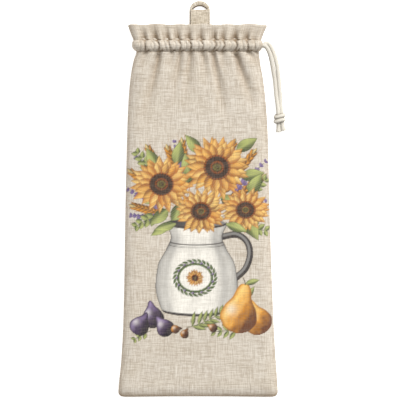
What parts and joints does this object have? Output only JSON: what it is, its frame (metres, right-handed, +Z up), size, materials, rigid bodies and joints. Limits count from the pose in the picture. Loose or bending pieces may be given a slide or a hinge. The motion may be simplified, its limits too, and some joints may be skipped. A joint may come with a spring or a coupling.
{
  "type": "linen bread bag",
  "caption": "Flat drawstring bag of linen cloth for loaves, with a gathered heading, a hanging loop of tape and a knotted cord.",
  "frame": {"origin": "centre of the bag's outline on the surface that it lies on, without the cord's free ends", "axes": "+Z up from the surface, +Y from the bottom seam towards the hanging loop, +X towards the side where the drawstring leaves"},
  "size_m": [0.2302, 0.5418, 0.0256],
  "materials": {
    "linen": "undyed linen weave with slubs, printed on the front",
    "tape": "herringbone linen tape",
    "cord": "soft braided cotton cord"
  },
  "bodies": {
    "root": {"front_panel": "linen", "back_panel": "linen", "hanging_loop": "tape", "drawstring_in_channel": "cord", "drawstring_end_front": "cord", "drawstring_end_back": "cord", "drawstring_knot": "cord", "drawstring_tail_left": "cord", "drawstring_tail_right": "cord"}
  },
  "joints": []
}
